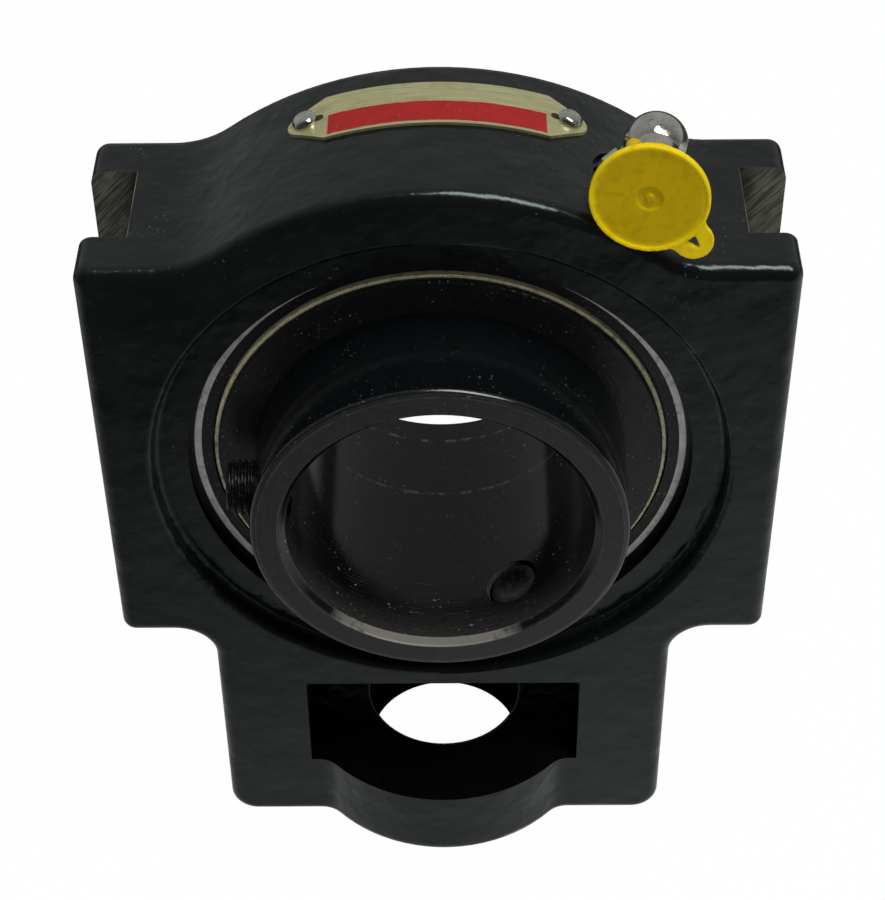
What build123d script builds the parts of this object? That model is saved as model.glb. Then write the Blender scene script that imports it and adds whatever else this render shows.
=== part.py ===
from build123d import *
from math import asin, cos, degrees, radians, sin, sqrt
import os

# Take-up bearing unit for a 2 inch shaft, in millimetres
# The origin is the bearing centre, the shaft runs along Y, the front faces -Y and Z is up
# The unit stands on the flat end of its tail

# Bearing insert, the height of the race shoulders as a share of the ball's radius
shaft_radius = 25.4
ball_radius = 6.35
ball_count = 10
race_conformity = 1.04
inner_race_wall = 3.25
outer_race_wall = 3.65
inner_shoulder_share = 0.4
outer_shoulder_share = 0.37
ring_land = 5.65
ring_corner = 0.4
back_extension = 12.3
bore_chamfer = 1.25
ring_end_round = 1.1
lube_groove_width = 5.0
lube_groove_depth = 0.6
oil_hole_radius = 0.8
oil_hole_count = 3

# Cage: the web behind the balls, and how far the open side stays short of them
cage_web = 1.4
cage_mouth = 1.95

# Seals: a retainer in the outer ring, felt behind a flinger on the inner ring
retainer_seat_step = 1.5
retainer_seat_depth = 1.8
retainer_thickness = 0.8
retainer_sunk = 0.1
retainer_lip = 1.8
felt_thickness = 1.1
flinger_thickness = 0.9
flinger_hub_wall = 0.8

# Set screws, their angles clockwise from the top as seen from the front
screw_radius = 4.76
screw_length = 9.5
screw_shaft_gap = 0.5
screw_flinger_gap = 3.69
screw_end_wall = 6.34
screw_angles = (151.2, 271.2)
screw_end_chamfer = 0.6
socket_across_flats = 4.76
socket_depth = 4.6
cup_radius = 2.6
cup_depth = 1.0
screw_hole_flare = 0.7

# Locking pin that keeps the outer ring from turning
pin_radius = 1.5
pin_length = 3.8
pin_sunk = 2.4
pin_slot_travel = 4.0

# Cast housing: walls and offsets round the insert
crown_wall = 9.8
crown_rise = 14.6
wing_foot = -38.1
tail_cheek = 16.0
end_wall = 15.7
ring_set_back = 3.0
cast_edge_round = 2.2
shoulder_blend = 16.0
wing_corner_round = 2.4
tail_corner_round = 5.0
armpit_round = 7.0

# Guide grooves in both sides
groove_wall = 4.3
groove_depth = 7.85
groove_width = 17.5

# Shallow recess round the bearing on both faces
recess_margin = 3.2
recess_depth = 3.4
recess_edge_round = 1.2
recess_floor_round = 1.0

# Nut window, screw hole and the boss round it
window_bridge = 3.8
window_half_width = 25.0
window_height = 21.2
window_corner_round = 1.2
screw_hole_radius = 14.3
screw_hole_edge_round = 0.8
screw_boss_wall = 14.1
screw_boss_blend = 5.0

# Nameplate on the crown and its drive pins
plate_thickness = 0.5
plate_front = 0.4
plate_width = 11.3
plate_body_half = 17.9
plate_ear = 7.9
plate_tip_round = 2.6
drive_pin_in_ear = 3.07
drive_pin_set_back = 0.35
drive_head_radius = 2.1
drive_head_height = 1.3
drive_shank_radius = 1.0
drive_shank_length = 5.0

# Elbow grease fitting on the right shoulder
fitting_angle = 31.0
fitting_place = -3.4
fitting_swivel = 8.5
elbow_radius = 5.1
neck_radius = 4.2
hex_across_flats = 10.0
hex_height = 2.8
fitting_shank_radius = 3.0
fitting_shank_length = 6.5
spotface_depth = 1.2
nipple_body_radius = 3.9
nipple_waist_radius = 2.4
nipple_waist_length = 2.2
nipple_head_radius = 3.3
nipple_head_length = 3.6
nipple_tip_radius = 1.9
nipple_tip_length = 1.6
channel_radius = 0.9

# Plastic cap pressed over the nipple, its lower edge hanging before the crown
cap_radius = 9.2
cap_hang = 0.95
cap_thickness = 0.9
cap_rim_width = 0.6
cap_rim_height = 0.35
cap_hub_radius = 6.2
cap_crown_depth = 2.3
cap_dimple_radius = 2.0
cap_dimple_depth = 0.4
cap_nub_radius = 0.7
cap_loop_angle = -46.0
cap_loop_radius = 3.2
cap_loop_offset = 0.7
cap_loop_blend = 2.0
cap_eye_half_width = 0.95
cap_eye_length = 2.4
cap_eye_land = 0.15
cap_eye_corner = 0.25
cap_lug_angle = 119.0
cap_lug_radius = 1.25

# Clearances
seat_clearance = 0.08
ball_clearance = 0.05
pocket_clearance = 0.25
cage_clearance = 1.1
seal_clearance = 0.15
retainer_clearance = 1.6
felt_clearance = 0.5
flinger_clearance = 1.1
press_clearance = 0.02
plate_clearance = 0.02
hole_clearance = 0.05
notch_clearance = 0.4
spotface_clearance = 0.45
cap_clearance = 0.08
cap_face_clearance = 0.2
cap_socket_gap = 0.5

# Insert sizes that follow from the ones above
pitch_radius = shaft_radius + inner_race_wall + ball_radius
inner_ring_radius = pitch_radius - ball_radius * (1 - inner_shoulder_share)
outer_shoulder_radius = pitch_radius + ball_radius * (1 - outer_shoulder_share)
ring_outside_radius = pitch_radius + ball_radius + outer_race_wall
half_ring = ball_radius + ring_land
ring_face_radius = sqrt(ring_outside_radius**2 - half_ring**2)
race_radius = ball_radius * race_conformity
outer_race_centre = pitch_radius + ball_radius + ball_clearance - race_radius
inner_race_centre = pitch_radius - ball_radius - ball_clearance + race_radius
outer_race_half = sqrt(race_radius**2 - (outer_shoulder_radius - outer_race_centre) ** 2)
inner_race_half = sqrt(race_radius**2 - (inner_race_centre - inner_ring_radius) ** 2)
cage_inner_radius = inner_ring_radius + cage_clearance
cage_outer_radius = outer_shoulder_radius - cage_clearance
cage_closed_side = ball_radius + pocket_clearance + cage_web
cage_open_side = ball_radius - cage_mouth

# Seals and set screws
retainer_seat_radius = outer_shoulder_radius + retainer_seat_step
retainer_mouth_radius = retainer_seat_radius - retainer_lip
retainer_bore_radius = inner_ring_radius + retainer_clearance
retainer_back = half_ring - retainer_seat_depth
retainer_face = retainer_back + retainer_thickness
felt_radius = retainer_mouth_radius - felt_clearance
felt_back = retainer_face + seal_clearance
flinger_radius = retainer_mouth_radius - flinger_clearance
flinger_bore = inner_ring_radius + press_clearance
flinger_back = felt_back + felt_thickness
flinger_face = flinger_back + flinger_thickness
screw_tip_radius = shaft_radius + screw_shaft_gap
screw_place = -(flinger_face + screw_flinger_gap + screw_radius)
screw_hole_in_ring = screw_radius + hole_clearance
inner_ring_front = screw_radius + screw_end_wall - screw_place
inner_ring_back = half_ring + back_extension

# Housing
seat_radius = ring_outside_radius + seat_clearance
recess_floor = half_ring + ring_set_back
half_thickness = recess_floor + recess_depth
recess_radius = ring_outside_radius + recess_margin
top_radius = recess_radius + crown_wall
shoulder_height = top_radius - crown_rise
arc_start = sqrt(top_radius**2 - shoulder_height**2)
groove_half_span = ring_outside_radius + groove_wall
wing_half_width = groove_half_span + groove_depth
window_top = -(recess_radius + window_bridge)
window_floor = window_top - window_height
tail_half_width = window_half_width + tail_cheek
tail_end = window_floor - end_wall
screw_boss_radius = screw_hole_radius + screw_boss_wall
boss_meets_face = sqrt(screw_boss_radius**2 - half_thickness**2)
boss_blend_end = sqrt((screw_boss_radius + screw_boss_blend) ** 2 - (half_thickness + screw_boss_blend) ** 2)

# Nameplate, fitting and cap
plate_back = plate_front + plate_width
plate_middle = (plate_front + plate_back) / 2
plate_tip_half = plate_body_half + plate_ear
drive_pin_angle = degrees(asin((plate_body_half + drive_pin_in_ear) / top_radius))
plate_radius = top_radius + plate_clearance
drive_pin_place = plate_middle + drive_pin_set_back
crown_seat = top_radius - spotface_depth
spotface_radius = hex_across_flats / sqrt(3) + spotface_clearance
elbow_reach = top_radius + cap_radius - cap_hang
cap_back = (half_thickness + cap_face_clearance + fitting_place) / cos(radians(fitting_swivel))
cap_face = cap_back + cap_thickness
nipple_head_end = cap_back - cap_crown_depth
nipple_waist_end = nipple_head_end - nipple_head_length
nipple_body_end = nipple_waist_end - nipple_waist_length
cap_hub_start = nipple_waist_end + nipple_head_radius - nipple_waist_radius - cap_socket_gap
cap_loop_reach = cap_radius + cap_loop_offset

# Directions and working planes
upward = (Align.CENTER, Align.CENTER, Align.MIN)
downward = (Align.CENTER, Align.CENTER, Align.MAX)
fitting_out = Vector(sin(radians(fitting_angle)), 0, cos(radians(fitting_angle)))
fitting_side = Vector(cos(radians(fitting_angle)), 0, -sin(radians(fitting_angle)))
nipple_out = Vector(0, -cos(radians(fitting_swivel)), 0) - fitting_side * sin(radians(fitting_swivel))
fitting_root = Vector(0, fitting_place, 0)
elbow_centre = fitting_root + fitting_out * elbow_reach
nipple_side = nipple_out.cross(fitting_out)
nipple_section = Plane(origin=elbow_centre, x_dir=nipple_side, z_dir=nipple_side.cross(nipple_out))
nipple_axis = Axis(elbow_centre, nipple_out)


def radial_plane(angle, radius, place):
    """Plane square to a radius of the shaft axis, its normal outward, angle clockwise from the top."""
    out = Vector(sin(radians(angle)), 0, cos(radians(angle)))
    return Plane(origin=out * radius + Vector(0, place, 0), x_dir=(0, 1, 0), z_dir=out)


def nipple_plane(distance):
    """Plane square to the nipple, its normal outward, its x to the object's right."""
    right = Vector(1, 0, 0) - nipple_out * nipple_out.X
    return Plane(origin=elbow_centre + nipple_out * distance, x_dir=right, z_dir=nipple_out)


os.makedirs("parts", exist_ok=True)

# Housing, one casting
with BuildPart() as housing:
    # Outline seen from the front
    with BuildSketch(Plane.XZ) as outline:
        with BuildLine():
            Polyline(
                (arc_start, shoulder_height),
                (wing_half_width, shoulder_height),
                (wing_half_width, wing_foot),
                (tail_half_width, wing_foot),
                (tail_half_width, tail_end),
                (-tail_half_width, tail_end),
                (-tail_half_width, wing_foot),
                (-wing_half_width, wing_foot),
                (-wing_half_width, shoulder_height),
                (-arc_start, shoulder_height),
            )
            ThreePointArc((-arc_start, shoulder_height), (0, top_radius), (arc_start, shoulder_height))
        make_face()
        feet = outline.vertices().group_by(Axis.Y)[0]
        fillet(feet, tail_corner_round)
        tail_sides = outline.vertices().filter_by(lambda v: abs(abs(v.X) - tail_half_width) < 0.01)
        fillet(tail_sides.filter_by(lambda v: v.Y > tail_end / 2), armpit_round)
        tips = outline.vertices().filter_by(lambda v: abs(abs(v.X) - wing_half_width) < 0.01)
        fillet(tips, wing_corner_round)
        shoulders = outline.vertices().filter_by(lambda v: abs(abs(v.X) - arc_start) < 0.01)
        fillet(shoulders, shoulder_blend)
    extrude(amount=half_thickness, both=True)
    # Round boss of the screw hole, blended into both faces of the tail
    with BuildSketch(Plane.XY.offset(tail_end)) as boss:
        Circle(screw_boss_radius)
        Rectangle(2 * (tail_half_width - tail_corner_round), 2 * half_thickness)
        meets = boss.vertices().filter_by(lambda v: abs(abs(v.X) - boss_meets_face) < 0.01)
        fillet(meets, screw_boss_blend)
    extrude(amount=window_floor - tail_end)
    # Soft cast edges along both faces and round the foot of the boss
    faces_rim = housing.edges().filter_by(
        lambda e: abs(abs((e @ 0).Y) - half_thickness) < 0.01
        and abs(abs((e @ 1).Y) - half_thickness) < 0.01
        and abs((e @ 0).Y - (e @ 1).Y) < 0.01
        and (abs(e.center().X) > boss_blend_end + 0.01 or e.center().Z > wing_foot)
    )
    boss_foot = housing.edges().filter_by(
        lambda e: abs(e.center().Z - tail_end) < 0.01 and abs(e.center().Y) > half_thickness + 0.01
    )
    fillet(faces_rim + boss_foot, cast_edge_round)
    # Seat of the spherical outer ring
    Sphere(seat_radius, mode=Mode.SUBTRACT)
    # Recess on both faces
    for face_side in (1, -1):
        with BuildSketch(Plane.XZ.offset(face_side * recess_floor)):
            Circle(recess_radius)
        extrude(amount=face_side * (recess_depth + 1), mode=Mode.SUBTRACT)
    recess_circles = housing.edges().filter_by(GeomType.CIRCLE)
    recess_circles = recess_circles.filter_by(lambda e: abs(e.radius - recess_radius) < 0.01)
    fillet(recess_circles.filter_by(lambda e: abs(e.center().Y) > half_thickness - 0.1), recess_edge_round)
    fillet(recess_circles.filter_by(lambda e: abs(e.center().Y) < recess_floor + 0.1), recess_floor_round)
    # Loading notches behind, through which the turned insert goes in
    with BuildSketch(Plane.XZ):
        Rectangle(2 * (half_ring + notch_clearance), 3 * ring_outside_radius)
        Circle(seat_radius, mode=Mode.INTERSECT)
    extrude(amount=-half_thickness, mode=Mode.SUBTRACT)
    # Guide grooves
    for side in (1, -1):
        with BuildSketch(Plane.XY.offset(wing_foot - 1)):
            with Locations((side * wing_half_width, 0)):
                Rectangle(2 * (wing_half_width - groove_half_span), groove_width)
        extrude(amount=shoulder_height - wing_foot + 2, mode=Mode.SUBTRACT)
    # Nut window
    with BuildSketch(Plane.XZ) as window:
        with Locations((0, (window_top + window_floor) / 2)):
            Rectangle(2 * window_half_width, window_top - window_floor)
        fillet(window.vertices().group_by(Axis.Y)[-1], window_corner_round)
    extrude(amount=screw_boss_radius + 1, both=True, mode=Mode.SUBTRACT)
    # Hole of the adjusting screw, up through the end wall
    with BuildSketch(Plane.XY.offset(tail_end)):
        Circle(screw_hole_radius)
    extrude(amount=window_floor - tail_end, mode=Mode.SUBTRACT)
    hole_rims = housing.edges().filter_by(GeomType.CIRCLE)
    fillet(hole_rims.filter_by(lambda e: abs(e.radius - screw_hole_radius) < 0.01), screw_hole_edge_round)
    # Slot for the locking pin, long enough for the ring to tilt
    with BuildSketch(Plane.YZ):
        SlotOverall(2 * (pin_radius + hole_clearance) + pin_slot_travel, 2 * (pin_radius + hole_clearance))
    extrude(amount=ring_outside_radius - pin_sunk + pin_length + hole_clearance, mode=Mode.SUBTRACT)
    # Holes of the drive pins
    for angle in (-drive_pin_angle, drive_pin_angle):
        with Locations(radial_plane(angle, top_radius, drive_pin_place)):
            Hole(drive_shank_radius + hole_clearance, depth=drive_shank_length)
    # Spotface, screw hole and grease channel of the fitting
    with Locations(radial_plane(fitting_angle, crown_seat, fitting_place)):
        Cylinder(spotface_radius, 3 * spotface_depth, align=upward, mode=Mode.SUBTRACT)
        Hole(fitting_shank_radius + hole_clearance, depth=fitting_shank_length)
        Hole(channel_radius, depth=crown_seat - seat_radius + 1)
housing.part.label = "housing"
export_step(housing.part, "parts/housing.step")

# Outer ring, turned with a spherical outside
with BuildPart() as outer_ring:
    with BuildSketch(Plane.XY) as section:
        with BuildLine():
            Polyline(
                (ring_face_radius, -half_ring),
                (retainer_seat_radius, -half_ring),
                (retainer_seat_radius, -retainer_back),
                (outer_shoulder_radius, -retainer_back),
                (outer_shoulder_radius, -outer_race_half),
            )
            ThreePointArc(
                (outer_shoulder_radius, -outer_race_half),
                (outer_race_centre + race_radius, 0),
                (outer_shoulder_radius, outer_race_half),
            )
            Polyline(
                (outer_shoulder_radius, outer_race_half),
                (outer_shoulder_radius, retainer_back),
                (retainer_seat_radius, retainer_back),
                (retainer_seat_radius, half_ring),
                (ring_face_radius, half_ring),
            )
            ThreePointArc(
                (ring_face_radius, half_ring),
                (ring_outside_radius, 0),
                (ring_face_radius, -half_ring),
            )
        make_face()
        fillet(section.vertices().filter_by(lambda v: abs(v.X - ring_face_radius) < 0.01), ring_corner)
    revolve(axis=Axis.Y)
    # Grease groove round the outside and the holes that lead inward
    with BuildSketch(Plane.XY):
        with Locations((ring_outside_radius, 0)):
            Rectangle(2 * lube_groove_depth, lube_groove_width)
    revolve(axis=Axis.Y, mode=Mode.SUBTRACT)
    for hole in range(oil_hole_count):
        angle = fitting_angle + 360 * hole / oil_hole_count
        with Locations(radial_plane(angle, ring_outside_radius, 0)):
            Hole(oil_hole_radius, depth=ring_outside_radius - outer_shoulder_radius)
    # Blind hole of the locking pin
    with Locations(radial_plane(90, ring_outside_radius, 0)):
        Hole(pin_radius + press_clearance, depth=pin_sunk + press_clearance)
outer_ring.part.label = "outer_ring"
export_step(outer_ring.part, "parts/outer_ring.step")

# Wide inner ring with two threaded holes for the set screws
with BuildPart() as inner_ring:
    with BuildSketch(Plane.XY) as section:
        with BuildLine():
            Polyline(
                (inner_ring_radius, -inner_race_half),
                (inner_ring_radius, -inner_ring_front),
                (shaft_radius, -inner_ring_front),
                (shaft_radius, inner_ring_back),
                (inner_ring_radius, inner_ring_back),
                (inner_ring_radius, inner_race_half),
            )
            ThreePointArc(
                (inner_ring_radius, inner_race_half),
                (inner_race_centre - race_radius, 0),
                (inner_ring_radius, -inner_race_half),
            )
        make_face()
        ends = section.vertices().filter_by(lambda v: v.Y < -half_ring or v.Y > half_ring)
        chamfer(ends.filter_by(lambda v: v.X < inner_ring_radius - 0.01), bore_chamfer)
        ends = section.vertices().filter_by(lambda v: v.Y < -half_ring or v.Y > half_ring)
        fillet(ends.filter_by(lambda v: v.X > inner_ring_radius - 0.01), ring_end_round)
    revolve(axis=Axis.Y)
    for angle in screw_angles:
        with Locations(radial_plane(angle, inner_ring_radius, screw_place)):
            CounterSinkHole(
                screw_hole_in_ring,
                screw_hole_in_ring + screw_hole_flare,
                depth=inner_ring_radius - shaft_radius + screw_radius,
            )
inner_ring.part.label = "inner_ring"
export_step(inner_ring.part, "parts/inner_ring.step")

# Balls, evenly spaced on the pitch circle
ball_angles = [radians(360 * i / ball_count) for i in range(ball_count)]
ball_places = [(pitch_radius * sin(angle), 0, pitch_radius * cos(angle)) for angle in ball_angles]
for number, place in enumerate(ball_places, start=1):
    with BuildPart() as ball:
        with Locations(place):
            Sphere(ball_radius)
    ball.part.label = f"ball_{number:02d}"
    export_step(ball.part, f"parts/ball_{number:02d}.step")

# Moulded cage with snap-in pockets, open towards the front
with BuildPart() as cage:
    with BuildSketch(Plane.XY):
        with Locations((cage_inner_radius, -cage_open_side)):
            Rectangle(
                cage_outer_radius - cage_inner_radius,
                cage_closed_side + cage_open_side,
                align=Align.MIN,
            )
    revolve(axis=Axis.Y)
    with Locations(ball_places):
        Sphere(ball_radius + pocket_clearance, mode=Mode.SUBTRACT)
cage.part.label = "cage"
export_step(cage.part, "parts/cage.step")

# Seals at both ends of the ball space
for end, name in ((-1, "front"), (1, "rear")):
    # Pressed steel retainer seated in the outer ring
    with BuildPart() as retainer:
        with BuildSketch(Plane.XY):
            with BuildLine():
                Polyline(
                    (retainer_bore_radius, end * retainer_back),
                    (retainer_seat_radius - press_clearance, end * retainer_back),
                    (retainer_seat_radius - press_clearance, end * (half_ring - retainer_sunk)),
                    (retainer_mouth_radius, end * (half_ring - retainer_sunk)),
                    (retainer_mouth_radius, end * retainer_face),
                    (retainer_bore_radius, end * retainer_face),
                    close=True,
                )
            make_face()
        revolve(axis=Axis.Y)
    retainer.part.label = f"{name}_seal_retainer"
    export_step(retainer.part, f"parts/{name}_seal_retainer.step")

    # Felt washer carried by the flinger
    with BuildPart() as felt:
        felt_bore = flinger_bore + flinger_hub_wall
        with BuildSketch(Plane.XY):
            with Locations(((felt_bore + felt_radius) / 2, end * (felt_back + flinger_back) / 2)):
                Rectangle(felt_radius - felt_bore, felt_thickness)
        revolve(axis=Axis.Y)
    felt.part.label = f"{name}_felt_seal"
    export_step(felt.part, f"parts/{name}_felt_seal.step")

    # Flinger pressed on the inner ring, its hub under the felt
    with BuildPart() as flinger:
        with BuildSketch(Plane.XY) as section:
            with BuildLine():
                Polyline(
                    (flinger_bore, end * felt_back),
                    (flinger_bore, end * flinger_face),
                    (flinger_radius, end * flinger_face),
                    (flinger_radius, end * flinger_back),
                    (flinger_bore + flinger_hub_wall, end * flinger_back),
                    (flinger_bore + flinger_hub_wall, end * felt_back),
                    close=True,
                )
            make_face()
            rim = section.vertices().filter_by(lambda v: v.X > flinger_radius - 0.01)
            fillet(rim.filter_by(lambda v: abs(v.Y) > flinger_face - 0.01), flinger_thickness / 2)
        revolve(axis=Axis.Y)
    flinger.part.label = f"{name}_flinger"
    export_step(flinger.part, f"parts/{name}_flinger.step")

# Cup point set screws
for number, angle in enumerate(screw_angles, start=1):
    with BuildPart(radial_plane(angle, screw_tip_radius, screw_place)) as set_screw:
        Cylinder(screw_radius, screw_length, align=upward)
        chamfer(set_screw.edges().filter_by(GeomType.CIRCLE), screw_end_chamfer)
        Cone(cup_radius, 0, cup_depth, align=upward, mode=Mode.SUBTRACT)
        with BuildSketch(radial_plane(angle, screw_tip_radius + screw_length, screw_place)):
            RegularPolygon(socket_across_flats / 2, 6, major_radius=False)
        extrude(amount=-socket_depth, mode=Mode.SUBTRACT)
    set_screw.part.label = f"set_screw_{number}"
    export_step(set_screw.part, f"parts/set_screw_{number}.step")

# Locking pin between the outer ring and the housing, on the axis that the ring tilts about
with BuildPart(radial_plane(90, ring_outside_radius - pin_sunk, 0)) as locking_pin:
    Cylinder(pin_radius, pin_length, align=upward)
locking_pin.part.label = "locking_pin"
export_step(locking_pin.part, "parts/locking_pin.step")

# Nameplate, a thin strip bent round the crown, with pointed ears
with BuildPart() as nameplate:
    with BuildSketch(Plane.XZ.offset(-plate_back)):
        Circle(plate_radius + plate_thickness)
        Circle(plate_radius, mode=Mode.SUBTRACT)
    extrude(amount=plate_back - plate_front)
    with BuildSketch(Plane.XY) as plate_outline:
        with BuildLine():
            Polyline(
                (-plate_body_half, plate_front),
                (plate_body_half, plate_front),
                (plate_tip_half, plate_middle),
                (plate_body_half, plate_back),
                (-plate_body_half, plate_back),
                (-plate_tip_half, plate_middle),
                close=True,
            )
        make_face()
        ears = plate_outline.vertices().filter_by(lambda v: abs(v.X) > plate_tip_half - 0.01)
        fillet(ears, plate_tip_round)
    extrude(amount=2 * top_radius, mode=Mode.INTERSECT)
    for angle in (-drive_pin_angle, drive_pin_angle):
        with Locations(radial_plane(angle, plate_radius + plate_thickness, drive_pin_place)):
            Hole(drive_shank_radius + hole_clearance, depth=2 * plate_thickness)
nameplate.part.label = "nameplate"
export_step(nameplate.part, "parts/nameplate.step")

# Round-headed drive pins
for angle, name in ((-drive_pin_angle, "left"), (drive_pin_angle, "right")):
    with BuildPart(radial_plane(angle, plate_radius + plate_thickness, drive_pin_place)) as drive_pin:
        Cylinder(drive_head_radius, drive_head_height, align=upward)
        crown = drive_pin.edges().filter_by(GeomType.CIRCLE).sort_by(lambda e: e.center().length)[-1]
        fillet(crown, drive_head_height - 0.1)
        Cylinder(drive_shank_radius, drive_shank_length, align=downward)
    drive_pin.part.label = f"drive_pin_{name}"
    export_step(drive_pin.part, f"parts/drive_pin_{name}.step")

# Elbow grease fitting, forged in one piece with its ball-shaped bend
with BuildPart() as grease_fitting:
    with Locations(radial_plane(fitting_angle, crown_seat, fitting_place)):
        Cylinder(neck_radius, elbow_reach - crown_seat, align=upward)
        Cylinder(fitting_shank_radius, fitting_shank_length, align=downward)
    # Wrench hexagon, a corner to each side
    with BuildSketch(radial_plane(fitting_angle, crown_seat, fitting_place)):
        RegularPolygon(hex_across_flats / 2, 6, major_radius=False, rotation=30)
    extrude(amount=hex_height)
    with Locations(elbow_centre):
        Sphere(elbow_radius)
    with BuildSketch(nipple_section):
        with BuildLine():
            Polyline(
                (0, 0),
                (nipple_body_radius, 0),
                (nipple_body_radius, nipple_body_end),
                (nipple_waist_radius, nipple_body_end),
                (nipple_waist_radius, nipple_waist_end),
                (nipple_head_radius, nipple_waist_end + nipple_head_radius - nipple_waist_radius),
                (nipple_head_radius, nipple_head_end - nipple_tip_length),
                (nipple_tip_radius, nipple_head_end),
                (0, nipple_head_end),
                close=True,
            )
        make_face()
    revolve(axis=nipple_axis)
    # Grease channel through the nipple, round the bend and down the shank
    with BuildSketch(nipple_plane(nipple_head_end)):
        Circle(channel_radius)
    extrude(amount=-nipple_head_end, mode=Mode.SUBTRACT)
    with BuildSketch(radial_plane(fitting_angle, crown_seat - fitting_shank_length, fitting_place)):
        Circle(channel_radius)
    extrude(amount=elbow_reach - crown_seat + fitting_shank_length, mode=Mode.SUBTRACT)
grease_fitting.part.label = "grease_fitting"
export_step(grease_fitting.part, "parts/grease_fitting.step")

# Plastic cap with a pull loop, pressed over the nipple's head
with BuildPart() as grease_cap:
    with BuildSketch(nipple_plane(cap_back)) as disc:
        Circle(cap_radius)
        with PolarLocations(cap_loop_reach, 1, start_angle=cap_loop_angle):
            Circle(cap_loop_radius)
        for end in (0, -1):
            corners = disc.vertices().filter_by(lambda v: v.Y < -0.01).sort_by(Axis.X)
            fillet(corners[end], cap_loop_blend)
    extrude(amount=cap_thickness)
    # Three-cornered eye of the loop
    with BuildSketch(nipple_plane(cap_back)) as eye:
        with PolarLocations(cap_radius + cap_eye_land, 1, start_angle=cap_loop_angle):
            Polygon(
                (0, -cap_eye_half_width),
                (cap_eye_length, 0),
                (0, cap_eye_half_width),
                align=None,
            )
        fillet(eye.vertices(), cap_eye_corner)
    extrude(amount=cap_thickness, mode=Mode.SUBTRACT)
    # Raised rim
    with BuildSketch(nipple_plane(cap_face)):
        Circle(cap_radius)
        Circle(cap_radius - cap_rim_width, mode=Mode.SUBTRACT)
    extrude(amount=cap_rim_height)
    # Dimple with a gate mark in its middle
    with BuildSketch(nipple_plane(cap_face)):
        Circle(cap_dimple_radius)
        Circle(cap_nub_radius, mode=Mode.SUBTRACT)
    extrude(amount=-cap_dimple_depth, mode=Mode.SUBTRACT)
    # Hub with a small lug on its side
    with BuildSketch(nipple_plane(cap_hub_start)):
        Circle(cap_hub_radius)
        with PolarLocations(cap_hub_radius, 1, start_angle=cap_lug_angle):
            Circle(cap_lug_radius)
    extrude(amount=cap_back - cap_hub_start)
    with BuildSketch(nipple_plane(cap_hub_start)):
        Circle(nipple_head_radius + cap_clearance)
    extrude(amount=nipple_head_end - cap_hub_start + cap_socket_gap, mode=Mode.SUBTRACT)
grease_cap.part.label = "grease_cap"
export_step(grease_cap.part, "parts/grease_cap.step")
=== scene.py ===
from math import cos, pi, radians, sin

import bmesh
import bpy
from mathutils import Matrix, Vector


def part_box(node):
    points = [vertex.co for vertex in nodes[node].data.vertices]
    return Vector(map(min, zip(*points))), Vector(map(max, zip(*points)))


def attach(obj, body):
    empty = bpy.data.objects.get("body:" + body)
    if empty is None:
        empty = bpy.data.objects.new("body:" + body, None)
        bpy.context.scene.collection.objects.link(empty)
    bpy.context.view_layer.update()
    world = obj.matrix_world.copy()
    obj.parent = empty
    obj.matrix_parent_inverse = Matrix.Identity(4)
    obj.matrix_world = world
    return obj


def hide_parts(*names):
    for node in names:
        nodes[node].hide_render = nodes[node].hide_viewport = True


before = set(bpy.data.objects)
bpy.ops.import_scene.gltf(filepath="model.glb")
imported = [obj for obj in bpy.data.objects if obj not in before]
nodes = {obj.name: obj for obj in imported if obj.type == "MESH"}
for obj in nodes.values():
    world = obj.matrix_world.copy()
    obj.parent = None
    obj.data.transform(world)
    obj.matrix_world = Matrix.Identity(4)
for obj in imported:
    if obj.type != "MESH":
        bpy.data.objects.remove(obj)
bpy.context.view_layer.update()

# Take-up bearing unit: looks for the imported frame, in metres
# The bearing centre is the origin, the shaft runs along Y, the front faces -Y and Z is up

mm = 0.001

# Camera fitted to the photograph, 885 x 900 pixels
camera_place = Vector((3.18, -299.84, 264.29)) * mm
camera_yaw = radians(0.56)
camera_elevation = radians(42.54)
camera_roll = radians(-0.70)
camera_lens = 92.0
camera_sensor = 36.0

# Light: one soft panel overhead and to the right
panel_place = Vector((0.26, -0.20, 1.0))
panel_width = 0.34
panel_length = 0.75
panel_power = 8.6

# Sky: its level on matt surfaces, and in reflections towards the front and the back
sky_diffuse = 0.36
sky_front = 0.05
sky_back = 0.37
sky_front_edge = -0.5
sky_back_edge = 0.3

# Floor: its size, the share that glows, and how bright it is in reflections
floor_size = 8.0
floor_glow = 0.985
gloss_under_object = 0.60
gloss_fall_per_metre = 2.5
gloss_per_metre_right = 2.0
gloss_right_reach = 0.08
gloss_lowest = 0.05
gloss_highest = 0.62

# Sizes read from the frame
floor_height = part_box("housing")[0].z
ring_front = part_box("inner_ring")[0].y

# Bare guide faces inside the grooves
groove_bottom = 49.3 * mm
groove_half_width = 8.75 * mm
mill_slope = radians(48)
mill_spacing = 0.34 * mm

# Hole of the adjusting screw, nut window and boss
screw_hole_radius = 14.45 * mm
screw_hole_chamfer = 0.7 * mm
window_floor = -73.2 * mm
window_top = -51.9 * mm
window_half_width = 25.05 * mm
boss_radius = 28.3 * mm

# Shaft bore and the inner ring's front face
bore_radius = 25.4 * mm
face_inner_edge = 26.65 * mm
face_outer_edge = 30.1 * mm
# Painted highlight on the bore's chamfer: its angle round the axis and its reach
chamfer_highlight_angle = -0.12
chamfer_highlight_reach = 0.68
front_mark = 4.0 * mm
back_mark = 18.3 * mm
mark_angle = 0.1
mark_reach = 1.1

# Ground band of the outer ring's face; past it the face is painted dark as shade in the gap
ground_outer_edge = 41.6 * mm

# Coloured band on the nameplate
band_front = 1.0 * mm
band_back = 6.45 * mm
plate_body_half = 17.9 * mm

# Slots beside the drive pins
slot_place = 18.95 * mm
slot_half_length = 0.85 * mm
slot_half_width = 0.85 * mm
pin_y = 6.4 * mm

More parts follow.
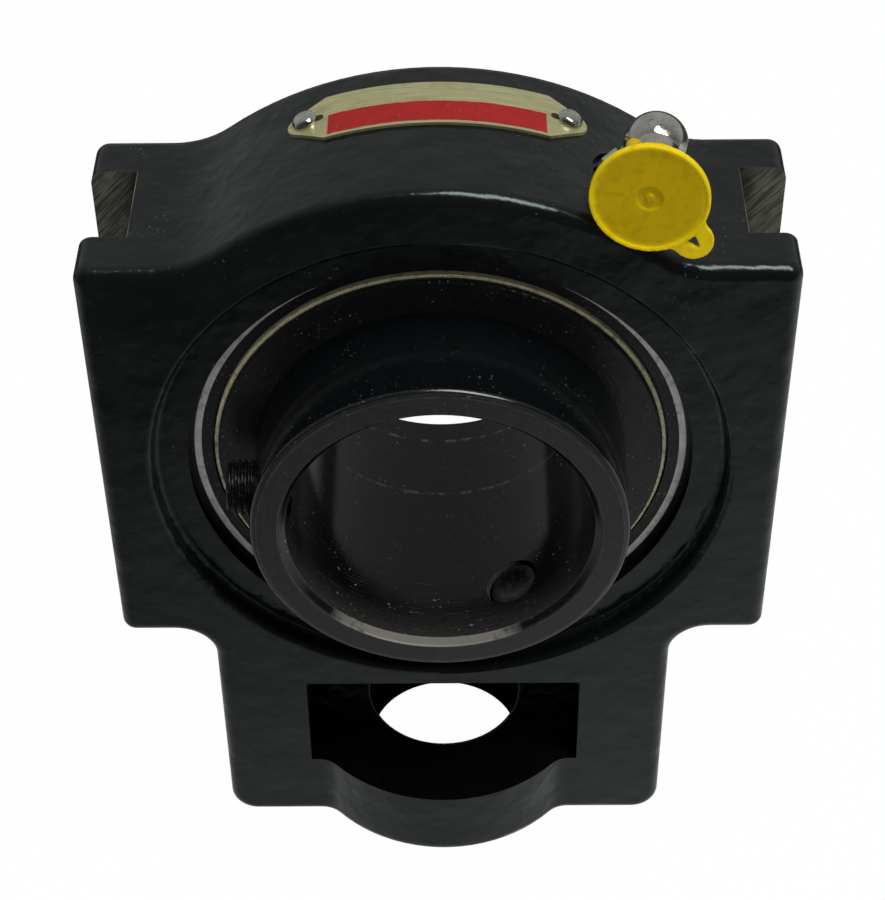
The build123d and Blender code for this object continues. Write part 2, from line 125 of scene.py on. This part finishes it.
# Threads of the set screws
screw_length = 9.5 * mm
thread_pitch = 1.06 * mm
thread_depth = 0.6 * mm
thread_crest = 0.2
screw_chamfer = 0.6 * mm
cup_radius = 2.6 * mm
cup_depth = 1.0 * mm
socket_half = 2.38 * mm
socket_depth = 4.6 * mm
socket_point = 0.4 * mm
screw_sides = 72
screw_rows = 90
thread_sharp_angle = radians(40)

# Cap: the nipple's direction, and the middle of the cap's face along it from the elbow's ball
cap_axis = Vector((-0.1267, -0.9890, 0.0761))
cap_reach = 16.3 * mm
cap_centre = Vector((34.12, -3.4, 56.79)) * mm + cap_axis * cap_reach
cap_face_radius = 9.2 * mm

# Softened edges of the moulded cap
cap_voxel = 0.15 * mm
cap_smoothing_factor = 0.5
cap_smoothing_steps = 6


class Graph:
    """The node tree of one material, with short calls for the nodes used here."""

    def __init__(self, name):
        self.material = bpy.data.materials.new(name)
        self.material.use_nodes = True
        self.tree = self.material.node_tree
        self.shader = self.tree.nodes["Principled BSDF"]
        self.output = self.tree.nodes["Material Output"]

    def link(self, source, target):
        self.tree.links.new(source, target)

    def feed(self, socket, value):
        """Sets a socket to a constant, or links another node's output to it."""
        if isinstance(value, bpy.types.NodeSocket):
            self.link(value, socket)
        else:
            socket.default_value = value

    def set(self, **values):
        """Shader inputs by name, with underscores for spaces."""
        for name, value in values.items():
            self.feed(self.shader.inputs[name.replace("_", " ")], value)

    def place(self):
        """Object coordinates, in metres: every CAD node has its place in them."""
        return self.tree.nodes.new("ShaderNodeTexCoord").outputs["Object"]

    def axes(self, vector):
        node = self.tree.nodes.new("ShaderNodeSeparateXYZ")
        self.link(vector, node.inputs[0])
        return node.outputs

    def vector(self, x, y, z):
        node = self.tree.nodes.new("ShaderNodeCombineXYZ")
        for socket, value in zip(node.inputs, (x, y, z)):
            self.feed(socket, value)
        return node.outputs[0]

    def math(self, operation, a, b=0.0, clamp=False):
        node = self.tree.nodes.new("ShaderNodeMath")
        node.operation = operation
        node.use_clamp = clamp
        self.feed(node.inputs[0], a)
        self.feed(node.inputs[1], b)
        return node.outputs[0]

    def product(self, *values):
        result = values[0]
        for value in values[1:]:
            result = self.math("MULTIPLY", result, value)
        return result

    def sum(self, *values):
        result = values[0]
        for value in values[1:]:
            result = self.math("ADD", result, value)
        return result

    def difference(self, vector, origin):
        node = self.tree.nodes.new("ShaderNodeVectorMath")
        node.operation = "SUBTRACT"
        self.link(vector, node.inputs[0])
        node.inputs[1].default_value = origin
        return node.outputs[0]

    def round_axis(self, x, z):
        """Distance from the shaft axis, and the angle round it with its seam at the top."""
        squares = self.math("ADD", self.product(x, x), self.product(z, z))
        return self.math("SQRT", squares), self.math("ARCTAN2", x, self.product(z, -1.0))

    def noise(self, vector, size, detail=2.0, roughness=0.5, stretch=(1, 1, 1)):
        """Noise whose grains are about size metres, longer along an axis whose stretch is under 1."""
        mapping = self.tree.nodes.new("ShaderNodeMapping")
        mapping.inputs["Scale"].default_value = [s / size for s in stretch]
        self.link(vector, mapping.inputs[0])
        node = self.tree.nodes.new("ShaderNodeTexNoise")
        self.link(mapping.outputs[0], node.inputs["Vector"])
        node.inputs["Scale"].default_value = 1.0
        node.inputs["Detail"].default_value = detail
        node.inputs["Roughness"].default_value = roughness
        return node.outputs[0]

    def ramp(self, value, low, high, out_low=0.0, out_high=1.0):
        """Maps low..high to out_low..out_high, clamped."""
        node = self.tree.nodes.new("ShaderNodeMapRange")
        self.feed(node.inputs["Value"], value)
        node.inputs["From Min"].default_value = low
        node.inputs["From Max"].default_value = high
        node.inputs["To Min"].default_value = out_low
        node.inputs["To Max"].default_value = out_high
        return node.outputs[0]

    def near(self, value, centre, half_width):
        """1 at centre, falling to 0 at half_width from it."""
        distance = self.math("ABSOLUTE", self.math("SUBTRACT", value, centre))
        return self.ramp(distance, 0.0, half_width, 1.0, 0.0)

    def colour(self, share, a, b):
        """Colour a where share is 0, b where it is 1."""
        node = self.tree.nodes.new("ShaderNodeMix")
        node.data_type = "RGBA"
        self.feed(node.inputs[0], share)
        for socket, value in ((node.inputs[6], a), (node.inputs[7], b)):
            self.feed(socket, value if isinstance(value, bpy.types.NodeSocket) else (*value, 1.0))
        return node.outputs[2]

    def blend(self, share, a, b):
        """Number a where share is 0, b where it is 1."""
        node = self.tree.nodes.new("ShaderNodeMix")
        self.feed(node.inputs[0], share)
        self.feed(node.inputs[2], a)
        self.feed(node.inputs[3], b)
        return node.outputs[0]

    def bump(self, height, depth, under=None):
        """A bump whose full height is depth metres."""
        node = self.tree.nodes.new("ShaderNodeBump")
        node.inputs["Distance"].default_value = depth
        self.link(height, node.inputs["Height"])
        if under is not None:
            self.link(under, node.inputs["Normal"])
        return node.outputs[0]

    def specks(self, p, size, rarity):
        """Small separate grains, 1 in each; a higher rarity leaves fewer."""
        return self.ramp(self.noise(p, size, 0.0), rarity, rarity + 0.03)


def dress(names, material):
    """Gives CAD nodes a material."""
    for name in names:
        mesh = nodes[name].data
        mesh.materials.clear()
        mesh.materials.append(material)


def enamel():
    """Black gloss enamel over a sand-cast skin, with bare milled walls in the grooves and painted shade
    inside the screw hole and the window.
    """
    g = Graph("enamel")
    p = g.place()
    x, y, z = g.axes(p)
    dust = g.product(g.specks(p, 0.45 * mm, 0.79), g.ramp(g.noise(p, 22 * mm), 0.50, 0.66))
    cloudy = g.ramp(g.noise(p, 12 * mm), 0.3, 0.7)
    paint = g.colour(cloudy, (0.0034, 0.0042, 0.0044), (0.0062, 0.0068, 0.0068))
    painted = g.colour(g.product(dust, 0.7), paint, (0.11, 0.11, 0.10))
    # Milled walls: fine slanted cutter strokes, darker towards the inner corner
    sideways = g.math("ABSOLUTE", x)
    in_groove = g.math("GREATER_THAN", sideways, groove_bottom - 0.1 * mm)
    between_walls = g.math("LESS_THAN", g.math("ABSOLUTE", y), groove_half_width + 0.03 * mm)
    bare = g.product(in_groove, between_walls)
    across = g.math("SUBTRACT", g.product(x, sin(mill_slope)), g.product(z, cos(mill_slope)))
    along = g.math("ADD", g.product(x, cos(mill_slope)), g.product(z, sin(mill_slope)))
    strokes = g.noise(g.vector(across, g.product(along, 0.05), g.product(y, 0.05)), mill_spacing, 2.0)
    metal = g.colour(g.ramp(strokes, 0.32, 0.68), (0.060, 0.060, 0.048), (0.30, 0.295, 0.235))
    metal = g.colour(g.ramp(g.noise(p, 2.5 * mm, 3.0), 0.4, 0.7, 0.0, 0.6), metal, (0.075, 0.075, 0.062))
    shade = g.ramp(sideways, groove_bottom + 0.2 * mm, groove_bottom + 3.5 * mm, 0.75, 0.0)
    shade = g.product(shade, g.ramp(sideways, groove_bottom + 0.03 * mm, groove_bottom + 0.15 * mm))
    milled = g.colour(shade, metal, (0.012, 0.012, 0.011))
    # Painted shade: the cored screw hole, the window's walls and its floor get a darker colour and weaker
    # reflection, the hole none at all
    from_screw = g.sum(g.product(x, x), g.product(y, y))
    in_hole = g.math("LESS_THAN", from_screw, screw_hole_radius ** 2)
    shaded_hole = g.product(in_hole, g.math("LESS_THAN", z, window_floor + screw_hole_chamfer))
    off_floor = g.math("ABSOLUTE", g.math("SUBTRACT", z, window_floor))
    in_boss = g.math("LESS_THAN", from_screw, boss_radius ** 2)
    floor = g.product(in_boss, g.math("LESS_THAN", off_floor, 0.12 * mm))
    inside = g.product(g.math("LESS_THAN", z, window_top), g.math("GREATER_THAN", z, window_floor - 0.1 * mm))
    walls = g.product(g.math("LESS_THAN", sideways, window_half_width), inside)
    shaded_inside = g.math("MAXIMUM", shaded_hole, g.math("MAXIMUM", floor, walls))
    glossy = g.ramp(g.noise(p, 5 * mm), 0.3, 0.7, 0.13, 0.22)
    skin = g.bump(g.noise(p, 1.3 * mm, 2.0), 0.05 * mm, g.bump(g.noise(p, 7 * mm, 2.0), 0.5 * mm))
    g.set(
        Base_Color=g.colour(g.product(shaded_inside, 0.8), g.colour(bare, painted, milled), (0.002, 0.002, 0.002)),
        Metallic=g.product(bare, 0.55),
        Roughness=g.blend(bare, g.blend(dust, glossy, 0.8), 0.5),
        Specular_IOR_Level=g.blend(shaded_hole, g.blend(shaded_inside, 0.36, 0.07), 0.0),
        Specular_Tint=(0.86, 1.0, 1.0, 1.0),
        Normal=skin,
    )
    return g.material


def black_oxide():
    """Blackened steel of the inner ring: turned front face, scratched and dusty bore, and a painted highlight
    on the chamfer.
    """
    g = Graph("black_oxide")
    p = g.place()
    x, y, z = g.axes(p)
    radius, angle = g.round_axis(x, z)
    front = ring_front
    face = g.ramp(y, front + 0.15 * mm, front + 0.4 * mm, 1.0, 0.0)
    bore = g.ramp(radius, bore_radius + 0.1 * mm, bore_radius + 0.3 * mm, 1.0, 0.0)
    turned = g.noise(g.vector(radius, g.product(angle, 0.2 * mm), 0.0), 0.13 * mm, 2.0)
    inner_edge = g.near(radius, face_inner_edge, 0.16 * mm)
    outer_edge = g.near(radius, face_outer_edge, 0.16 * mm)
    edges = g.math("MAXIMUM", inner_edge, outer_edge)
    edges = g.product(edges, face, g.ramp(g.noise(p, 2.5 * mm), 0.35, 0.6))
    # Scratches run round the bore, and dust lies along its front
    arc = g.vector(g.product(angle, bore_radius * 0.035), y, 0.0)
    scratches = g.product(bore, g.ramp(g.noise(arc, 0.22 * mm, 1.0), 0.66, 0.76))
    marks = g.math("MAXIMUM", g.near(y, front_mark, 0.5 * mm), g.near(y, back_mark, 0.45 * mm))
    unrolled = g.vector(g.product(angle, bore_radius), y, 0.0)
    broken = g.ramp(g.noise(unrolled, 2.2 * mm, 4.0, 0.7), 0.46, 0.60)
    marks = g.product(marks, bore, broken, g.near(angle, mark_angle, mark_reach), 2.0)
    flecked = g.ramp(g.noise(unrolled, 7 * mm), 0.48, 0.62)
    flecks = g.product(g.specks(unrolled, 0.8 * mm, 0.74), flecked, bore)
    marks = g.math("MAXIMUM", marks, flecks, clamp=True)
    band = g.ramp(y, front + 1.2 * mm, front + 8 * mm, 1.0, 0.0)
    dust = g.product(bore, band, g.ramp(g.noise(p, 0.45 * mm, 5.0, 0.7), 0.25, 0.95, 0.12, 0.80))
    grains = g.product(g.specks(p, 0.42 * mm, 0.76), g.ramp(g.noise(p, 9 * mm), 0.48, 0.66))
    # Painted highlight: the chamfer is painted bright and partly metallic near its bottom
    outside_bore = g.ramp(radius, bore_radius + 0.03 * mm, bore_radius + 0.1 * mm)
    inside_face = g.math("LESS_THAN", radius, face_inner_edge - 0.05 * mm)
    chamfer = g.product(outside_bore, inside_face)
    chamfer_highlight = g.product(chamfer, g.near(angle, chamfer_highlight_angle, chamfer_highlight_reach), 2.6)
    chamfer_highlight = g.math("MULTIPLY", chamfer_highlight, g.ramp(g.noise(p, 1.6 * mm, 2.0), 0.30, 0.50, 0.25, 1.0), clamp=True)
    worn = g.colour(turned, (0.006, 0.0066, 0.0066), (0.026, 0.0265, 0.0255))
    worn = g.colour(g.ramp(g.noise(p, 1.1 * mm, 3.0), 0.45, 0.7, 0.0, 0.6), worn, (0.0075, 0.008, 0.0075))
    base = g.colour(face, (0.0030, 0.0040, 0.0046), worn)
    base = g.colour(bore, base, (0.0024, 0.0028, 0.0030))
    base = g.colour(g.product(scratches, 0.6), base, (0.09, 0.09, 0.088))
    base = g.colour(g.product(marks, 0.8), base, (0.28, 0.27, 0.25))
    base = g.colour(g.product(dust, 0.8), base, (0.085, 0.082, 0.074))
    base = g.colour(g.product(chamfer_highlight, 0.9), base, (0.46, 0.44, 0.38))
    base = g.colour(g.product(edges, 0.45), base, (0.16, 0.16, 0.15))
    base = g.colour(g.product(grains, 0.7), base, (0.12, 0.12, 0.11))
    smooth = g.ramp(g.noise(p, 4 * mm), 0.3, 0.7, 0.12, 0.20)
    g.set(
        Base_Color=base,
        Metallic=g.math("MAXIMUM", g.product(edges, 0.5), g.product(chamfer_highlight, 0.6)),
        Roughness=g.blend(face, g.blend(bore, smooth, 0.15), 0.42),
        Specular_IOR_Level=g.blend(bore, 0.5, 0.32),
        Normal=g.bump(turned, 0.012 * mm, g.bump(g.noise(p, 3 * mm), 0.02 * mm)),
    )
    return g.material


def screw_black():
    """Blackened steel of the set screws, a little worn."""
    g = Graph("screw_black")
    p = g.place()
    worn = g.ramp(g.noise(p, 0.8 * mm, 3.0), 0.52, 0.72)
    g.set(
        Base_Color=g.colour(g.product(worn, 0.6), (0.004, 0.0045, 0.005), (0.06, 0.06, 0.057)),
        Metallic=0.1,
        Specular_IOR_Level=0.35,
        Roughness=g.ramp(g.noise(p, 0.5 * mm), 0.3, 0.7, 0.22, 0.40),
        Normal=g.bump(g.noise(p, 0.3 * mm), 0.01 * mm),
    )
    return g.material


def ground_steel():
    """Bright ground face of the outer ring, with short marks round the axis and a few stains, and painted
    shade past the ground band.
    """
    g = Graph("ground_steel")
    p = g.place()
    x, y, z = g.axes(p)
    radius, angle = g.round_axis(x, z)
    marks = g.noise(g.vector(radius, g.product(angle, 1.1 * mm), y), 0.11 * mm, 3.0)
    patches = g.noise(p, 1.8 * mm, 3.0)
    stains = g.ramp(g.noise(p, 0.9 * mm, 3.0), 0.56, 0.70)
    steel = g.colour(g.ramp(marks, 0.3, 0.7), (0.48, 0.48, 0.46), (0.80, 0.80, 0.77))
    steel = g.colour(g.ramp(patches, 0.35, 0.7), steel, (0.52, 0.52, 0.49))
    steel = g.colour(g.product(stains, 0.4), steel, (0.16, 0.155, 0.14))
    # Painted shade: past the ground band the face is painted near black, as the shadowed gap to the housing
    gap_shade = g.ramp(radius, ground_outer_edge, ground_outer_edge + 0.12 * mm)
    g.set(
        Base_Color=g.colour(gap_shade, steel, (0.006, 0.0065, 0.0065)),
        Metallic=g.blend(gap_shade, 0.45, 0.0),
        Roughness=g.ramp(patches, 0.3, 0.7, 0.28, 0.42),
        Normal=g.bump(marks, 0.02 * mm),
    )
    return g.material


def pressed_steel(name, dark, light, roughness):
    """Blackened sheet: faint drawing marks round the axis, dust grains."""
    g = Graph(name)
    p = g.place()
    x, y, z = g.axes(p)
    radius, angle = g.round_axis(x, z)
    rings = g.noise(g.vector(radius, g.product(angle, 2 * mm), 0.0), 0.35 * mm, 2.0)
    grains = g.product(g.specks(p, 0.4 * mm, 0.76), g.ramp(g.noise(p, 8 * mm), 0.40, 0.6))
    base = g.colour(g.ramp(rings, 0.3, 0.7), dark, light)
    g.set(
        Base_Color=g.colour(grains, base, (0.17, 0.17, 0.16)),
        Roughness=g.ramp(g.noise(p, 3 * mm), 0.3, 0.7, roughness, roughness + 0.12),
        Specular_IOR_Level=0.4,
        Normal=g.bump(rings, 0.01 * mm, g.bump(g.noise(p, 2 * mm), 0.03 * mm)),
    )
    return g.material


def felt():
    """Pressed wool: short tangled fibres, cream with darker oily spots."""
    g = Graph("felt")
    p = g.place()
    fibres = g.noise(p, 0.22 * mm, 4.0, 0.7)
    clumps = g.noise(p, 1.6 * mm, 3.0)
    wool = g.colour(g.ramp(fibres, 0.35, 0.68), (0.34, 0.31, 0.18), (0.80, 0.76, 0.52))
    g.set(
        Base_Color=g.colour(g.ramp(clumps, 0.52, 0.72, 0.0, 0.7), wool, (0.10, 0.09, 0.055)),
        Roughness=0.95,
        Specular_IOR_Level=0.1,
        Sheen_Weight=0.15,
        Normal=g.bump(fibres, 0.25 * mm),
    )
    return g.material


def nylon():
    """Moulded glass-filled nylon of the cage."""
    g = Graph("nylon")
    p = g.place()
    g.set(
        Base_Color=g.colour(g.ramp(g.noise(p, 3 * mm), 0.3, 0.7), (0.52, 0.45, 0.29), (0.64, 0.57, 0.40)),
        Roughness=g.ramp(g.noise(p, 0.6 * mm), 0.3, 0.7, 0.42, 0.55),
        Normal=g.bump(g.noise(p, 0.5 * mm), 0.02 * mm),
    )
    return g.material


def champagne():
    """Anodised strip, brushed along its length, with a red printed band."""
    g = Graph("champagne")
    p = g.place()
    x, y, z = g.axes(p)
    brushed = g.noise(p, 0.14 * mm, 2.0, 0.6, (0.02, 1, 0.02))
    clouds = g.noise(p, 3 * mm, 3.0)
    metal = g.colour(g.ramp(brushed, 0.3, 0.7), (0.42, 0.40, 0.20), (0.70, 0.68, 0.38))
    metal = g.colour(g.ramp(clouds, 0.5, 0.75, 0.0, 0.45), metal, (0.34, 0.325, 0.17))
    # The print's edges waver a little and its ink has thin spots
    waver = g.product(g.math("SUBTRACT", g.noise(p, 1.2 * mm), 0.5), 0.35 * mm)
    place = g.math("ADD", y, waver)
    off_middle = g.math("ABSOLUTE", x)
    lengthwise = g.ramp(off_middle, plate_body_half - 0.6 * mm, plate_body_half - 0.3 * mm, 1.0, 0.0)
    middle = (band_front + band_back) / 2
    half = (band_back - band_front) / 2
    offset = g.math("ABSOLUTE", g.math("SUBTRACT", place, middle))
    ink = g.product(g.ramp(offset, half - 0.1 * mm, half + 0.05 * mm, 1.0, 0.0), lengthwise)
    ink = g.product(ink, g.ramp(g.noise(p, 0.5 * mm, 3.0), 0.66, 0.80, 1.0, 0.7))
    # Each pin's hole is a slot that shows beside its head
    slot_x = g.product(g.math("SUBTRACT", off_middle, slot_place), 1 / slot_half_length)
    slot_y = g.product(g.math("SUBTRACT", y, pin_y), 1 / slot_half_width)
    slot = g.ramp(g.sum(g.product(slot_x, slot_x), g.product(slot_y, slot_y)), 0.8, 1.1, 1.0, 0.0)
    metal = g.colour(slot, metal, (0.004, 0.004, 0.004))
    red = g.colour(g.noise(p, 1.5 * mm, 2.0), (0.26, 0.010, 0.010), (0.38, 0.020, 0.018))
    g.set(
        Base_Color=g.colour(ink, metal, red),
        Metallic=g.product(g.blend(ink, 0.75, 0.1), g.math("SUBTRACT", 1.0, slot)),
        Roughness=g.blend(ink, g.ramp(clouds, 0.3, 0.7, 0.30, 0.42), 0.45),
        Specular_IOR_Level=g.blend(ink, 0.5, 0.15),
        Normal=g.bump(brushed, 0.008 * mm, g.bump(g.noise(p, 2.2 * mm), 0.05 * mm)),
    )
    return g.material


def chrome():
    """Dull bright plating with fine pits and cloudy patches."""
    g = Graph("chrome")
    p = g.place()
    clouds = g.noise(p, 2.2 * mm, 3.0)
    pits = g.specks(p, 0.35 * mm, 0.72)
    plated = g.colour(g.ramp(clouds, 0.35, 0.7), (0.66, 0.66, 0.60), (0.40, 0.405, 0.35))
    g.set(
        Base_Color=g.colour(g.product(pits, 0.6), plated, (0.08, 0.08, 0.07)),
        Metallic=1.0,
        Roughness=g.ramp(g.noise(p, 1.2 * mm, 3.0), 0.3, 0.7, 0.07, 0.18),
        Normal=g.bump(g.noise(p, 1.6 * mm, 2.0), 0.05 * mm),
    )
    return g.material


def yellow_plastic():
    """Soft moulded cap, slightly waxy, grimy in patches."""
    g = Graph("yellow_plastic")
    p = g.place()
    grime = g.ramp(g.noise(p, 1.4 * mm, 4.0), 0.50, 0.75)
    body = g.colour(g.noise(p, 4 * mm, 2.0), (0.46, 0.315, 0.0004), (0.56, 0.40, 0.001))
    # Painted highlight: the cap's rim is painted paler and brighter than its face
    offset = g.axes(g.difference(p, cap_centre))
    along = g.sum(*(g.product(part, share) for part, share in zip(offset, cap_axis)))
    squares = g.sum(*(g.product(part, part) for part in offset))
    reach = g.math("SQRT", g.math("SUBTRACT", squares, g.product(along, along)))
    rim_highlight = g.ramp(reach, cap_face_radius - 1.5 * mm, cap_face_radius - 0.2 * mm)
    body = g.colour(rim_highlight, body, (0.80, 0.60, 0.003))
    g.set(
        Base_Color=g.colour(g.product(grime, 0.3), body, (0.24, 0.15, 0.001)),
        Roughness=g.ramp(g.noise(p, 2 * mm), 0.3, 0.7, 0.30, 0.44),
        Specular_IOR_Level=0.22,
        Specular_Tint=(1.0, 0.85, 0.3, 1.0),
        Subsurface_Weight=0.12,
        Subsurface_Scale=0.8 * mm,
        Normal=g.bump(g.noise(p, 0.9 * mm, 3.0), 0.05 * mm),
    )
    return g.material


def make_set_screw(number, material):
    """A cup point screw with its real thread and hexagon socket, in place of the plain solid."""
    node = f"set_screw_{number}"
    low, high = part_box(node)
    centre = (low + high) / 2
    outward = Vector((centre.x, 0, centre.z)).normalized()
    across = outward.cross(Vector((0, 1, 0)))
    shaft_end = centre - outward * (screw_length / 2)
    radius = (high.y - low.y) / 2
    sides = [2 * pi * i / screw_sides for i in range(screw_sides)]

    def thread(angle, height):
        phase = (height / thread_pitch + angle / (2 * pi)) % 1.0
        cut = (abs(2 * phase - 1) - thread_crest) / (1 - 2 * thread_crest)
        end = min(height, screw_length - height)
        return min(radius - thread_depth * min(max(cut, 0.0), 1.0), radius - screw_chamfer + end)

    def hexagon(angle):
        return socket_half / cos((angle + pi / 6) % (pi / 3) - pi / 6)

    end_radius = radius - screw_chamfer
    rings = [[(cup_radius, 0.0)] * screw_sides, [(end_radius, 0.0)] * screw_sides]
    for row in range(1, screw_rows):
        height = screw_length * row / screw_rows
        rings.append([(thread(angle, height), height) for angle in sides])
    rings.append([(end_radius, screw_length)] * screw_sides)
    rings.append([(hexagon(angle), screw_length) for angle in sides])
    rings.append([(hexagon(angle), screw_length - socket_depth) for angle in sides])

    mesh = bmesh.new()

    def point(angle, distance, height):
        side = across * cos(angle) + Vector((0, 1, 0)) * sin(angle)
        return mesh.verts.new(shaft_end + outward * height + side * distance)

    loops = [[point(angle, *spot) for angle, spot in zip(sides, ring)] for ring in rings]
    for lower, upper in zip(loops, loops[1:]):
        for i in range(screw_sides):
            j = (i + 1) % screw_sides
            mesh.faces.new((lower[i], lower[j], upper[j], upper[i]))
    cup_bottom = mesh.verts.new(shaft_end + outward * cup_depth)
    socket_bottom = mesh.verts.new(shaft_end + outward * (screw_length - socket_depth - socket_point))
    for i in range(screw_sides):
        j = (i + 1) % screw_sides
        mesh.faces.new((loops[0][j], loops[0][i], cup_bottom))
        mesh.faces.new((loops[-1][i], loops[-1][j], socket_bottom))
    bmesh.ops.recalc_face_normals(mesh, faces=mesh.faces)
    data = bpy.data.meshes.new(f"threaded_{node}")
    mesh.to_mesh(data)
    mesh.free()
    for polygon in data.polygons:
        polygon.use_smooth = True
    data.set_sharp_from_angle(angle=thread_sharp_angle)
    data.materials.append(material)
    screw = bpy.data.objects.new(f"threaded_{node}", data)
    bpy.context.scene.collection.objects.link(screw)
    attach(screw, "inner_ring_body")
    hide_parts(node)


def soften_cap():
    """Rounds the moulded cap's edges as a soft plastic's are."""
    cap = nodes["grease_cap"]
    remesh = cap.modifiers.new("skin", "REMESH")
    remesh.mode = "VOXEL"
    remesh.voxel_size = cap_voxel
    remesh.use_smooth_shade = True
    smooth = cap.modifiers.new("soft", "SMOOTH")
    smooth.factor = cap_smoothing_factor
    smooth.iterations = cap_smoothing_steps


def make_camera():
    """The photograph's viewpoint, as the fitted camera gives it."""
    camera = bpy.data.objects.new("camera", bpy.data.cameras.new("camera"))
    camera.data.lens = camera_lens
    camera.data.sensor_width = camera_sensor
    camera.data.clip_start = 0.01
    camera.data.clip_end = 50.0
    turn = Matrix.Rotation(camera_yaw, 4, "Z")
    tip = Matrix.Rotation(pi / 2 - camera_elevation, 4, "X")
    roll = Matrix.Rotation(camera_roll, 4, "Z")
    camera.matrix_world = Matrix.Translation(camera_place) @ turn @ tip @ roll
    bpy.context.scene.collection.objects.link(camera)
    bpy.context.scene.camera = camera


def make_light():
    """One soft panel, turned to the origin."""
    lamp = bpy.data.lights.new("panel", "AREA")
    lamp.shape = "RECTANGLE"
    lamp.size = panel_width
    lamp.size_y = panel_length
    lamp.energy = panel_power
    panel = bpy.data.objects.new("panel", lamp)
    panel.location = panel_place
    panel.rotation_mode = "QUATERNION"
    panel.rotation_quaternion = panel_place.to_track_quat("Z", "Y")
    bpy.context.scene.collection.objects.link(panel)


def seen_share(tree):
    """Light Path's camera ray output, and 1 on all rays that show the background."""
    path = tree.nodes.new("ShaderNodeLightPath")
    camera_ray = path.outputs["Is Camera Ray"]
    seen = camera_ray
    for name in ("Is Glossy Ray", "Is Transmission Ray"):
        either = tree.nodes.new("ShaderNodeMath")
        either.operation = "MAXIMUM"
        tree.links.new(seen, either.inputs[0])
        tree.links.new(path.outputs[name], either.inputs[1])
        seen = either.outputs[0]
    return camera_ray, seen


def make_world():
    """White behind the object, dark towards the front in reflections, and a plain level of soft light."""
    world = bpy.data.worlds.new("studio")
    world.use_nodes = True
    tree = world.node_tree
    background = tree.nodes["Background"]
    background.inputs["Color"].default_value = (1, 1, 1, 1)
    camera_ray, seen = seen_share(tree)
    direction = tree.nodes.new("ShaderNodeTexCoord")
    axes = tree.nodes.new("ShaderNodeSeparateXYZ")
    tree.links.new(direction.outputs["Generated"], axes.inputs[0])
    room = tree.nodes.new("ShaderNodeMapRange")
    room.inputs["From Min"].default_value = sky_front_edge
    room.inputs["From Max"].default_value = sky_back_edge
    room.inputs["To Min"].default_value = sky_front
    room.inputs["To Max"].default_value = sky_back
    tree.links.new(axes.outputs[1], room.inputs["Value"])
    reflected = tree.nodes.new("ShaderNodeMix")
    reflected.inputs[2].default_value = sky_diffuse
    tree.links.new(seen, reflected.inputs[0])
    tree.links.new(room.outputs[0], reflected.inputs[3])
    shown = tree.nodes.new("ShaderNodeMix")
    shown.inputs[3].default_value = 1.0
    tree.links.new(camera_ray, shown.inputs[0])
    tree.links.new(reflected.outputs[0], shown.inputs[2])
    tree.links.new(shown.outputs[0], background.inputs["Strength"])
    bpy.context.scene.world = world


def make_floor():
    """Pale floor that shows white, with a faint shadow of the object."""
    bpy.ops.mesh.primitive_plane_add(size=floor_size, location=(0, 0, floor_height))
    floor = bpy.context.object
    floor.name = "floor"
    g = Graph("floor")
    g.set(Base_Color=(0.75, 0.75, 0.75, 1.0), Roughness=0.9, Specular_IOR_Level=0.0)
    glow = g.tree.nodes.new("ShaderNodeEmission")
    mix = g.tree.nodes.new("ShaderNodeMixShader")
    camera_ray, seen = seen_share(g.tree)
    # In glossy rays the floor falls off away from the object and towards the left, as the room does
    x, y, z = g.axes(g.place())
    right = g.math("MINIMUM", g.math("MAXIMUM", x, -gloss_right_reach), gloss_right_reach)
    fall = g.product(g.math("ABSOLUTE", y), -gloss_fall_per_metre)
    level = g.sum(fall, g.product(right, gloss_per_metre_right), gloss_under_object)
    level = g.math("MINIMUM", g.math("MAXIMUM", level, gloss_lowest), gloss_highest)
    g.link(g.blend(camera_ray, level, 1.0), glow.inputs["Strength"])
    g.link(g.math("MULTIPLY", seen, floor_glow), mix.inputs[0])
    g.link(g.shader.outputs[0], mix.inputs[1])
    g.link(glow.outputs[0], mix.inputs[2])
    g.link(mix.outputs[0], g.output.inputs["Surface"])
    floor.data.materials.append(g.material)


balls = [name for name in nodes if name.startswith("ball_")]
retainer_black = pressed_steel("retainer", (0.0040, 0.0045, 0.0045), (0.0090, 0.0095, 0.0095), 0.34)
flinger_black = pressed_steel("flinger", (0.0050, 0.0056, 0.0060), (0.0095, 0.0102, 0.0108), 0.24)

dress(["housing"], enamel())
dress(["outer_ring", "locking_pin", *balls], ground_steel())
dress(["inner_ring"], black_oxide())
dress(["front_seal_retainer", "rear_seal_retainer"], retainer_black)
dress(["front_flinger", "rear_flinger"], flinger_black)
dress(["front_felt_seal", "rear_felt_seal"], felt())
dress(["cage"], nylon())
dress(["nameplate"], champagne())
dress(["drive_pin_left", "drive_pin_right", "grease_fitting"], chrome())
dress(["grease_cap"], yellow_plastic())
soften_cap()
screw_material = screw_black()
for screw_number in (1, 2):
    make_set_screw(screw_number, screw_material)

bpy.context.scene.view_settings.view_transform = "Standard"
make_camera()
make_light()
make_world()
make_floor()
